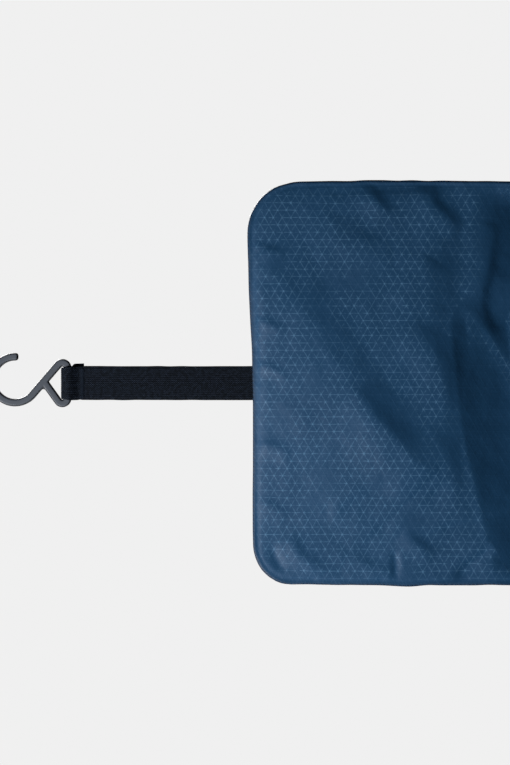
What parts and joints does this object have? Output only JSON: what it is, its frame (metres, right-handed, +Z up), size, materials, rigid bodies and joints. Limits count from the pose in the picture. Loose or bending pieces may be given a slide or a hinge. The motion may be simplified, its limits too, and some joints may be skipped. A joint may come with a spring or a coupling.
{
  "type": "hanging toiletry bag",
  "caption": "Roll-up hanging toiletry bag of pocketed cloth panels joined by box folds, hung from an open moulded hook on a webbing strap.",
  "frame": {"origin": "centre of the hook's round seat", "axes": "+Z up with the bag hanging along -Z, +Y out of the bag's plain outer cloth and along the hook seat's axis, pockets on -Y, +X across the bag"},
  "size_m": [0.238, 0.0387, 0.6284],
  "materials": {
    "ripstop": "coated nylon with a fine triangular ripstop grid, slight sheen",
    "lining": "plain woven nylon lining",
    "webbing": "ribbed woven webbing, matt",
    "thread": "bonded thread",
    "net": "open knitted net",
    "binding": "ribbed binding tape",
    "zip_tape": "herringbone zip tape",
    "zip_coil": "nylon coil",
    "metal": "gunmetal plated zinc",
    "grip": "moulded soft grip",
    "hook_plastic": "moulded acetal, satin"
  },
  "bodies": {
    "hook": {"hook": "hook_plastic"},
    "strap": {"hanger_strap": "webbing", "strap_bar_tack": "thread"},
    "panel_a": {"strap_anchor": "webbing", "anchor_tack": "thread", "panel_outer_a": "ripstop", "panel_lining_a": "lining", "pocket_gusset_a": "ripstop", "pocket_front_a": "net", "pocket_binding_a": "binding", "zip_tape_a": "zip_tape", "zip_coil_a": "zip_coil", "zip_stops_a": "metal"},
    "spine_1": {"spine_outer_1": "ripstop", "spine_lining_1": "lining"},
    "panel_b": {"keeper_loop": "webbing", "keeper_tacks": "thread", "panel_outer_b": "ripstop", "panel_lining_b": "lining", "pocket_gusset_b": "ripstop", "pocket_front_b": "net", "pocket_binding_b": "binding", "zip_tape_b": "zip_tape", "zip_coil_b": "zip_coil", "zip_stops_b": "metal"},
    "spine_2": {"spine_outer_2": "ripstop", "spine_lining_2": "lining"},
    "panel_c": {"panel_outer_c": "ripstop", "panel_lining_c": "lining", "pocket_gusset_c": "ripstop", "pocket_front_c": "net", "pocket_binding_c": "binding", "zip_tape_c": "zip_tape", "zip_coil_c": "zip_coil", "zip_stops_c": "metal"},
    "slider_a": {"zip_slider_a": "metal"},
    "pull_a": {"zip_pull_a": "metal", "zip_grip_a": "grip"},
    "slider_b": {"zip_slider_b": "metal"},
    "pull_b": {"zip_pull_b": "metal", "zip_grip_b": "grip"},
    "slider_c": {"zip_slider_c": "metal"},
    "pull_c": {"zip_pull_c": "metal", "zip_grip_c": "grip"}
  },
  "joints": [
    {"name": "strap_swing", "type": "hinge", "parent": "hook", "child": "strap", "pos_m": [0.002, 0, -0.0308], "axis": [-1, 0, 0], "range_deg": [-90, 90]},
    {"name": "bag_swing", "type": "hinge", "parent": "strap", "child": "panel_a", "pos_m": [0.002, 0.0006, -0.139], "axis": [-1, 0, 0], "range_deg": [-90, 90]},
    {"name": "fold_1_upper", "type": "hinge", "parent": "panel_a", "child": "spine_1", "pos_m": [0.002, -0.0006, -0.26205], "axis": [-1, 0, 0], "range_deg": [0, 90]},
    {"name": "fold_1_lower", "type": "hinge", "parent": "spine_1", "child": "panel_b", "pos_m": [0.002, -0.0006, -0.33645], "axis": [-1, 0, 0], "range_deg": [0, 90]},
    {"name": "fold_2_upper", "type": "hinge", "parent": "panel_b", "child": "spine_2", "pos_m": [0.002, -0.0006, -0.45275], "axis": [-1, 0, 0], "range_deg": [0, 90]},
    {"name": "fold_2_lower", "type": "hinge", "parent": "spine_2", "child": "panel_c", "pos_m": [0.002, -0.0006, -0.50275], "axis": [-1, 0, 0], "range_deg": [0, 90]},
    {"name": "zip_a_slide", "type": "slide", "parent": "panel_a", "child": "slider_a", "axis": [1, 0, 0], "range_m": [-0.1844, 0]},
    {"name": "zip_a_pull", "type": "hinge", "parent": "slider_a", "child": "pull_a", "pos_m": [0.0942, -0.01648, -0.1699], "axis": [1, 0, 0], "range_deg": [-170, 0]},
    {"name": "zip_b_slide", "type": "slide", "parent": "panel_b", "child": "slider_b", "axis": [1, 0, 0], "range_m": [-0.1844, 0]},
    {"name": "zip_b_pull", "type": "hinge", "parent": "slider_b", "child": "pull_b", "pos_m": [0.0942, -0.02048, -0.3626], "axis": [1, 0, 0], "range_deg": [-170, 0]},
    {"name": "zip_c_slide", "type": "slide", "parent": "panel_c", "child": "slider_c", "axis": [1, 0, 0], "range_m": [-0.1844, 0]},
    {"name": "zip_c_pull", "type": "hinge", "parent": "slider_c", "child": "pull_c", "pos_m": [0.0942, -0.02848, -0.5289], "axis": [1, 0, 0], "range_deg": [-170, 0]}
  ],
  "couplings": [
    {"joint": "fold_1_lower", "follows": "fold_1_upper", "ratio": 1},
    {"joint": "fold_2_lower", "follows": "fold_2_upper", "ratio": 1}
  ]
}
